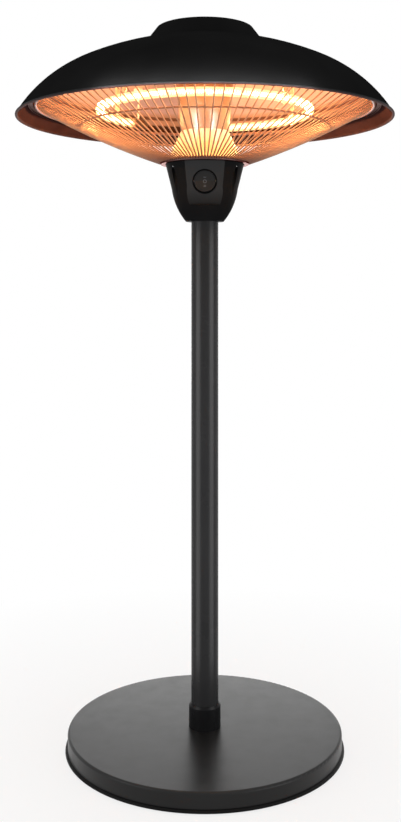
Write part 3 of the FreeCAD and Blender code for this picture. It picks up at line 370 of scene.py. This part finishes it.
def reflector_metal(name):
    """Spun bowl in painted warm lamp glow: lighter painted glow on the ceiling, the wall between a painted
    shadow ring and painted shade on the lower wall.
    """
    shader = Shader(name)
    lines = shader.rings(LATHE_SCALE)
    tone = shader.lined_tone(lines, share=0.4)
    # The orange of the spun aluminium and the warm tint of its reflections are painted lamp glow; the
    # ceiling's lighter colour is painted glow, the dark ring a painted shadow, the dark lower wall painted
    # shade.
    wall = shader.ramp(tone, (0.42, 0.210, 0.115), (0.54, 0.285, 0.165), TONE_SPAN)
    ceiling = shader.ramp(tone, (0.50, 0.30, 0.24), (0.64, 0.40, 0.33), TONE_SPAN)
    painted_shade_wall = shader.ramp(tone, (0.045, 0.014, 0.006), (0.075, 0.025, 0.010), TONE_SPAN)
    painted_shadow_ring = shader.ramp(tone, (0.14, 0.050, 0.024), (0.20, 0.075, 0.036), TONE_SPAN)
    height = shader.height()
    low = shader.ramp(height, 1.0, 0.0, WALL_SHADE_SPAN)
    shadow_ring_share = shader.math("MULTIPLY", shader.ramp(height, 0.0, 1.0, SHADOW_RING_START_SPAN),
                       shader.ramp(height, 1.0, 0.0, SHADOW_RING_END_SPAN))
    high = shader.ramp(height, 0.0, 1.0, CEILING_SPAN)
    upper = shader.mixed(shadow_ring_share, shader.mixed(high, wall, ceiling), painted_shadow_ring)
    shader.set(Base_Color=shader.mixed(low, upper, painted_shade_wall))
    shader.set(Metallic=0.5, Specular_Tint=(0.5, 0.3, 0.25, 1.0))
    shader.metal_gloss(low=0.30, high=0.42)
    shader.bump(lines, strength=0.08, distance=METAL_BUMP)
    return shader.material


def guard_metal(name):
    """Wire in painted warm lamp glow, with painted shade making it darker towards the hub."""
    shader = Shader(name)
    tone = shader.tone()
    # The warm wire colour and the warm tint of its reflections are painted lamp glow; the darker colour near
    # the hub is painted shade.
    bright = shader.ramp(tone, (0.36, 0.190, 0.108), (0.45, 0.240, 0.140), TONE_SPAN)
    painted_shade_wire = shader.ramp(tone, (0.15, 0.058, 0.036), (0.20, 0.080, 0.050), TONE_SPAN)
    shader.set(Base_Color=shader.mixed(shader.ramp(shader.height(), 0.0, 1.0, HUB_SHADE_SPAN), painted_shade_wire, bright))
    shader.set(Metallic=0.25, Specular_IOR_Level=0.6, Specular_Tint=(1.0, 0.78, 0.60, 1.0))
    shader.set(Roughness=shader.ramp(shader.noise(GUARD_GLOSS_SCALE), low=0.44, high=0.50))
    shader.bump(shader.noise(GUARD_GRAIN_SCALE, GRAIN_DETAIL), strength=0.01, distance=METAL_BUMP)
    return shader.material


def glowing(name, dim, bright, power, grain):
    """Hot wire whose colour wanders a little along it."""
    shader = Shader(name)
    ripple = shader.noise(grain, GRAIN_DETAIL)
    shader.set(Base_Color=(0.9, 0.75, 0.6, 1.0))
    shader.set(Roughness=shader.ramp(shader.noise(GLOW_GLOSS_SCALE), low=0.3, high=0.5))
    shader.set(Emission_Color=shader.ramp(ripple, dim, bright), Emission_Strength=power)
    shader.bump(ripple, strength=0.05, distance=METAL_BUMP)
    return shader.material


def lamp_glass(name):
    """Quartz tube, half clear, filled with the coil's glow."""
    shader = Shader(name)
    ripple = shader.noise(GLASS_RIPPLE_SCALE, GRAIN_DETAIL)
    shader.set(Base_Color=(0.05, 0.04, 0.03, 1.0), Specular_IOR_Level=0.1)
    shader.set(Roughness=shader.ramp(shader.noise(GLOW_GLOSS_SCALE), low=0.06, high=0.16))
    shader.set(Alpha=shader.ramp(ripple, low=0.22, high=0.34))
    shader.set(Emission_Color=shader.ramp(ripple, (1.0, 0.58, 0.20), (1.0, 0.70, 0.30)))
    shader.set(Emission_Strength=2.4)
    shader.bump(ripple, strength=0.05, distance=METAL_BUMP)
    return shader.material


def dome_paint(name):
    """Matte black outside with a rubbed rim; brown painted glow of the lamp on the inner side."""
    shader = Shader(name)
    outside = shader.ramp(shader.noise(CLOUD_SCALE), (0.0090, 0.0090, 0.0091), (0.0130, 0.0130, 0.0131))
    # The brown on the inner side is painted lamp glow on black paint.
    painted_glow_inside = shader.ramp(shader.noise(INSIDE_CLOUD_SCALE, TONE_DETAIL),
                         (0.046, 0.019, 0.017), (0.078, 0.033, 0.030))
    inward = shader.math("MULTIPLY", shader.facing(shader.outward()), -1.0)
    down = shader.math("MULTIPLY", shader.upright(shader.normal()), -1.0)
    painted_glow_share = shader.ramp(shader.math("MAXIMUM", inward, down), 0.0, 1.0, PAINTED_GLOW_SPAN)
    shader.set(Base_Color=shader.mixed(painted_glow_share, outside, painted_glow_inside))
    shader.set(Specular_IOR_Level=shader.ramp(shader.height(), 0.18, 0.0, RIM_SPAN))
    shader.gloss(low=0.62, high=0.74)
    shader.bump(shader.noise(DOME_GRAIN_SCALE, GRAIN_DETAIL), strength=0.14, distance=PAINT_BUMP)
    return shader.material


def cup_plastic(name):
    """Moulded black cup: a polished front panel, dull sides and a dull foot."""
    shader = Shader(name)
    shader.set(Base_Color=shader.ramp(shader.noise(CLOUD_SCALE),
                                      (0.0092, 0.0094, 0.0100), (0.0120, 0.0122, 0.0130)))
    shader.gloss(low=0.34, high=0.42)
    panel = shader.ramp(shader.facing(PANEL_OUT), 0.008, 0.30, PANEL_SPAN)
    foot = shader.ramp(shader.height(), 0.1, 1.0, CUP_FOOT_SPAN)
    shader.set(Specular_IOR_Level=shader.math("MULTIPLY", panel, foot))
    shader.bump(shader.noise(CUP_GRAIN_SCALE, GRAIN_DETAIL), strength=0.04, distance=PAINT_BUMP)
    return shader.material


# Finish of each material slot.
finishes = {
    "satin_black_paint": coated(
        "satin_black", dark=(0.0070, 0.0070, 0.0072), light=(0.0095, 0.0095, 0.0097),
        rough=(0.30, 0.38), grain=1500.0, strength=0.12, specular=0.24, fade=(0.06, LIP_SPAN)),
    "matte_black_paint": dome_paint("matte_black"),
    "gloss_black_plastic": cup_plastic("gloss_black"),
    "black_plastic": coated(
        "switch_black", dark=(0.0026, 0.0028, 0.0031), light=(0.0042, 0.0045, 0.0049),
        rough=(0.34, 0.46), grain=2200.0, strength=0.15, specular=0.28),
    "concrete": coated(
        "concrete", dark=(0.30, 0.29, 0.27), light=(0.48, 0.47, 0.44),
        rough=(0.85, 0.95), grain=240.0, strength=0.7, specular=0.3),
    "rubber": coated(
        "rubber", dark=(0.010, 0.010, 0.010), light=(0.020, 0.020, 0.020),
        rough=(0.7, 0.85), grain=900.0, strength=0.4, specular=0.3),
    "white_ceramic": coated(
        "ceramic", dark=(0.70, 0.67, 0.60), light=(0.82, 0.80, 0.74),
        rough=(0.45, 0.6), grain=700.0, strength=0.2, specular=0.4),
    "glass_fibre_sleeve": coated(
        "glass_fibre", dark=(0.62, 0.58, 0.48), light=(0.80, 0.77, 0.68),
        rough=(0.75, 0.9), grain=2600.0, strength=0.8, specular=0.2),
    "galvanised_steel": metal(
        "zinc_steel", dark=(0.30, 0.31, 0.32), light=(0.48, 0.49, 0.50),
        rough=(0.30, 0.45), spangle=260.0),
    "cast_aluminium": metal(
        "cast_aluminium", dark=(0.45, 0.45, 0.46), light=(0.58, 0.58, 0.59),
        rough=(0.45, 0.6), grain=420.0, strength=0.35),
    "polished_aluminium": reflector_metal("spun_aluminium"),
    "guard_chrome": guard_metal("guard_chrome"),
    "spring_steel": metal(
        "spring_steel", dark=(0.40, 0.33, 0.26), light=(0.52, 0.44, 0.36), rough=(0.26, 0.38)),
    "brass": metal(
        "brass", dark=(0.60, 0.44, 0.18), light=(0.78, 0.60, 0.28), rough=(0.24, 0.36)),
    "quartz": lamp_glass("quartz_glow"),
    "glowing_coil": glowing(
        "coil_glow", dim=(1.0, 0.70, 0.40), bright=(1.0, 0.80, 0.52), power=4.0, grain=600.0),
}

# Nodes that look different from the rest of their slot.
own_finishes = {
    "pole": coated(
        "pole_black", dark=(0.0074, 0.0074, 0.0077), light=(0.0094, 0.0094, 0.0097),
        rough=(0.26, 0.28), grain=1500.0, strength=0.06, specular=0.05),
    "pole_collar": coated(
        "collar_black", dark=(0.0026, 0.0026, 0.0028), light=(0.0038, 0.0038, 0.0040),
        rough=(0.22, 0.30), grain=1500.0, strength=0.08, specular=0.06),
    # The pinkish brown of the chrome hub and its edge tint are painted lamp glow, darkened as painted shade.
    "guard_hub": metal(
        "hub_chrome", dark=(0.085, 0.045, 0.042), light=(0.125, 0.066, 0.060),
        rough=(0.20, 0.28), lines=1400.0, edge=(0.40, 0.235, 0.22)),
    # The orange of the aluminium tube is painted lamp glow.
    "center_tube": metal(
        "tube_aluminium", dark=(0.170, 0.073, 0.030), light=(0.205, 0.091, 0.040),
        rough=(0.36, 0.42), sheen=0.35),
    # The warm yellow of the aluminium cone is painted lamp glow.
    "center_cone": metal(
        "cone_aluminium", dark=(0.52, 0.44, 0.25), light=(0.60, 0.52, 0.31),
        rough=(0.36, 0.46), lines=LATHE_SCALE, sheen=0.5),
    # The salmon colour of the chrome ring is painted lamp glow.
    "guard_outer_ring": coated(
        "ring_chrome", dark=(0.30, 0.135, 0.090), light=(0.38, 0.175, 0.120),
        rough=(0.30, 0.40), grain=900.0, strength=0.03, specular=0.25),
    # Dark brown, unlike the white ceramic of their slot.
    "lamp_end_caps": coated(
        "dark_ceramic", dark=(0.09, 0.048, 0.030), light=(0.15, 0.082, 0.052),
        rough=(0.5, 0.65), grain=700.0, strength=0.2, specular=0.1),
    # The bright warm yellow of the steel hangers is a painted highlight of the lamp's light.
    "lamp_hangers": metal(
        "hanger_steel", dark=(0.62, 0.50, 0.34), light=(0.80, 0.68, 0.50),
        rough=(0.26, 0.38), sheen=0.3),
    "cup_screws": metal(
        "bright_screw", dark=(0.55, 0.55, 0.56), light=(0.70, 0.70, 0.71), rough=(0.20, 0.30)),
    "switch_bezel": coated(
        "bezel_black", dark=(0.0020, 0.0020, 0.0021), light=(0.0032, 0.0032, 0.0033),
        rough=(0.24, 0.34), grain=2200.0, strength=0.10, specular=0.03),
}

slot_of = {row["node"]: row["material_slot"] for row in frame["record"]["subparts"]}
for name, piece in nodes.items():
    piece.data.materials.clear()
    piece.data.materials.append(own_finishes.get(name, finishes[slot_of[name]]))


# Pieces added to the solids


def new_piece(name, mesh_parts, finish, body):
    """Piece made of vertices and faces, riding on a body."""
    mesh = bpy.data.meshes.new(name)
    mesh.from_pydata(mesh_parts[0], [], mesh_parts[1])
    shape = bmesh.new()
    shape.from_mesh(mesh)
    bmesh.ops.recalc_face_normals(shape, faces=shape.faces)
    shape.to_mesh(mesh)
    shape.free()
    piece = bpy.data.objects.new(name, mesh)
    scene.collection.objects.link(piece)
    mesh.materials.append(finish)
    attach(piece, body)
    return piece


def coil_shape():
    """Round wire wound along the lamp's ring."""
    verts = []
    faces = []
    up = Vector((0, 0, 1))
    pitch = math.radians(LAMP_SWEEP) * LAMP_RADIUS / COIL_TURNS
    count = COIL_TURNS * COIL_STEPS_PER_TURN
    for step in range(count + 1):
        along = math.radians(LAMP_START + LAMP_SWEEP * step / count)
        around = 2 * math.pi * step / COIL_STEPS_PER_TURN
        radial = Vector((math.cos(along), math.sin(along), 0))
        forward = Vector((-math.sin(along), math.cos(along), 0))
        out = radial * math.cos(around) + up * math.sin(around)
        sideways = up * math.cos(around) - radial * math.sin(around)
        run = (sideways * (2 * math.pi * COIL_RADIUS) + forward * pitch).normalized()
        across = run.cross(out)
        middle = radial * LAMP_RADIUS + up * LAMP_HEIGHT + out * COIL_RADIUS
        for side in range(WIRE_SIDES):
            turn = 2 * math.pi * side / WIRE_SIDES
            verts.append(middle + (out * math.cos(turn) + across * math.sin(turn)) * WIRE_RADIUS)
    for step in range(count):
        for side in range(WIRE_SIDES):
            here = step * WIRE_SIDES + side
            beside = step * WIRE_SIDES + (side + 1) % WIRE_SIDES
            faces.append((here, beside, beside + WIRE_SIDES, here + WIRE_SIDES))
    faces.append(tuple(range(WIRE_SIDES)))
    faces.append(tuple(count * WIRE_SIDES + side for side in range(WIRE_SIDES)))
    return verts, faces


coil = new_piece("coil_turns", coil_shape(), finishes["glowing_coil"], "heater")
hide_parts("heating_coil")
coil.visible_shadow = False
for face in coil.data.polygons:
    face.use_smooth = True


rocker_mesh = nodes["switch_rocker"].data
rocker_face = BVHTree.FromPolygons([vert.co for vert in rocker_mesh.vertices],
                                   [tuple(face.vertices) for face in rocker_mesh.polygons])


def printed(ribbons):
    """Thin print laid on the rocker's face.

    Each ribbon is two edges of (across, up) points, and whether it closes on itself. Each pair of
    points gives four vertices: sunk and lifted on the first edge, then on the second.
    """
    verts = []
    faces = []
    for first_edge, second_edge, closed in ribbons:
        start = len(verts)
        for pair in zip(first_edge, second_edge):
            for across, up in pair:
                aim = SWITCH_PLACE + Vector((across, 0, 0)) + PANEL_UP * up
                spot = rocker_face.ray_cast(aim + PANEL_OUT * AIM_FROM, -PANEL_OUT)[0]
                verts += [spot - PANEL_OUT * PRINT_SUNK, spot + PANEL_OUT * PRINT_LIFT]
        count = len(first_edge)
        for step in range(count if closed else count - 1):
            a = start + PRINT_VERTS * step
            b = start + PRINT_VERTS * ((step + 1) % count)
            faces += [(a + 1, b + 1, b + 3, a + 3), (a, a + 2, b + 2, b), (a, b, b + 1, a + 1),
                      (a + 2, a + 3, b + 3, b + 2)]
        if not closed:
            end = start + PRINT_VERTS * (count - 1)
            faces += [(start, start + 1, start + 3, start + 2), (end, end + 2, end + 3, end + 1)]
    return verts, faces


def bar(width, up):
    """Straight stroke with rounded ends."""
    low = []
    high = []
    for step in range(STROKE_STEPS):
        across = width * (step / (STROKE_STEPS - 1) - 0.5)
        near_end = max(0.0, abs(across) - (width - STROKE) / 2) / (STROKE / 2)
        half = max(STROKE_END_SHARE, math.sqrt(max(0.0, 1 - near_end ** 2))) * STROKE / 2
        low.append((across, up - half))
        high.append((across, up + half))
    return low, high, False


def hoop(outer, inner):
    """Ring stroke round the middle of the rocker."""
    turns = [2 * math.pi * step / MARK_OFF_STEPS for step in range(MARK_OFF_STEPS)]
    outer_edge = [(outer * math.cos(turn), outer * math.sin(turn)) for turn in turns]
    inner_edge = [(inner * math.cos(turn), inner * math.sin(turn)) for turn in turns]
    return outer_edge, inner_edge, True


print_white = coated("switch_print", dark=(0.120, 0.135, 0.150), light=(0.170, 0.190, 0.210),
                     rough=(0.5, 0.7), grain=1800.0, strength=0.2, specular=0.2)
marks = {
    "mark_one": [bar(MARK_ONE_WIDTH, MARK_ONE_UP)],
    "mark_off": [hoop(MARK_OFF_OUTER, MARK_OFF_INNER)],
    "mark_two": [bar(MARK_TWO_WIDTH, MARK_TWO_UPPER), bar(MARK_TWO_WIDTH, MARK_TWO_LOWER)],
}
for name, ribbons in marks.items():
    new_piece(name, printed(ribbons), print_white, "rocker")


# Background and floor


def seen_straight(tree):
    """Is 1 on the rays that show the ground and the background as they are."""
    rays = tree.nodes.new("ShaderNodeLightPath")
    seen = rays.outputs["Is Camera Ray"]
    for kind in ("Is Glossy Ray", "Is Transmission Ray"):
        larger = tree.nodes.new("ShaderNodeMath")
        larger.operation = "MAXIMUM"
        tree.links.new(seen, larger.inputs[0])
        tree.links.new(rays.outputs[kind], larger.inputs[1])
        seen = larger.outputs[0]
    return seen


world = bpy.data.worlds.new("studio")
world.use_nodes = True
scene.world = world
tree = world.node_tree
strength = tree.nodes.new("ShaderNodeMapRange")
strength.inputs["To Min"].default_value = WORLD_FILL
strength.inputs["To Max"].default_value = WORLD_SEEN
tree.links.new(seen_straight(tree), strength.inputs["Value"])
tree.nodes["Background"].inputs["Color"].default_value = (1, 1, 1, 1)
tree.links.new(strength.outputs["Result"], tree.nodes["Background"].inputs["Strength"])

bpy.ops.mesh.primitive_plane_add(size=FLOOR_SIZE, location=(0, 0, 0))
floor = bpy.context.object
floor.name = "floor"
paper = Shader("floor_paper")
paper.set(Base_Color=FLOOR_COLOUR, Roughness=0.9, Specular_IOR_Level=0.1)
glow = paper.add("ShaderNodeEmission", Strength=1.0)
mix = paper.add("ShaderNodeMixShader")
glow_share = paper.ramp(paper.radius(), FLOOR_GLOW_NEAR, FLOOR_GLOW_FAR, FLOOR_GLOW_SPAN)
paper.feed(mix.inputs[0], paper.math("MULTIPLY", seen_straight(paper.tree), glow_share))
paper.feed(mix.inputs[1], paper.surface.outputs[0])
paper.feed(mix.inputs[2], glow.outputs[0])
paper.feed(paper.tree.nodes["Material Output"].inputs["Surface"], mix.outputs[0])
floor.data.materials.append(paper.material)


# Lights


def softbox(name, place, aim, size, power, spread=FULL_SPREAD):
    """Rectangular light that the camera doesn't see."""
    lamp = bpy.data.objects.new(name, bpy.data.lights.new(name, "AREA"))
    scene.collection.objects.link(lamp)
    lamp.data.shape = "RECTANGLE"
    lamp.data.size, lamp.data.size_y = size
    lamp.data.energy = power
    lamp.data.spread = math.radians(spread)
    lamp.visible_camera = False
    lamp.location = place
    lamp.rotation_euler = (Vector(aim) - Vector(place)).to_track_quat("-Z", "Y").to_euler()
    return lamp


def level_softbox(name, place, size, power, spread=FULL_SPREAD):
    """Softbox that faces the pole's axis at its own height."""
    return softbox(name, place, (0, 0, place[2]), size, power, spread)


def lit_alone(lamp, names):
    """Lets a lamp light these nodes only."""
    group = bpy.data.collections.new(lamp.name + "_lit")
    for name in names:
        group.objects.link(nodes[name])
    lamp.light_linking.receiver_collection = group


def on_side(side, place):
    """Place, or its mirror image for the left side."""
    return (side * place[0], place[1], place[2])


for side, name in ((-1, "left"), (1, "right")):
    strip = level_softbox("strip_" + name, on_side(side, STRIP_PLACE), STRIP_SIZE, STRIP_POWER, STRIP_SPREAD)
    lit_alone(strip, ("pole", "pole_collar"))
    glint = level_softbox("glint_" + name, on_side(side, GLINT_PLACE), GLINT_SIZE, GLINT_POWER, GLINT_SPREAD)
    glint.data.color = GLINT_COLOUR
    lit_alone(glint, ("center_tube", "center_cone"))
    level_softbox("softbox_" + name, on_side(side, SIDE_PLACE), SIDE_SIZE, SIDE_POWER)
for step in range(BROW_LIGHTS):
    turn = math.radians(BROW_STEP * (step - (BROW_LIGHTS - 1) / 2))
    brow_place = (BROW_RADIUS * math.sin(turn), -BROW_RADIUS * math.cos(turn), BROW_HEIGHT)
    brow = level_softbox("brow_%d" % step, brow_place, BROW_SIZE, BROW_POWER)
    lit_alone(brow, ("dome",))
softbox("softbox_top", TOP_PLACE, TOP_AIM, TOP_SIZE, TOP_POWER)
softbox("softbox_back", BACK_PLACE, BACK_AIM, BACK_SIZE, BACK_POWER)

for step in range(LAMP_LIGHTS):
    along = math.radians(LAMP_START + LAMP_SWEEP * (step + 0.5) / LAMP_LIGHTS)
    name = "lamp_light_%02d" % step
    point = bpy.data.objects.new(name, bpy.data.lights.new(name, "POINT"))
    scene.collection.objects.link(point)
    point.location = (LAMP_RADIUS * math.cos(along), LAMP_RADIUS * math.sin(along), LAMP_HEIGHT)
    point.data.color = LAMP_LIGHT_COLOUR
    point.data.energy = LAMP_LIGHT_POWER
    point.data.shadow_soft_size = LAMP_LIGHT_RADIUS
    point.visible_camera = False
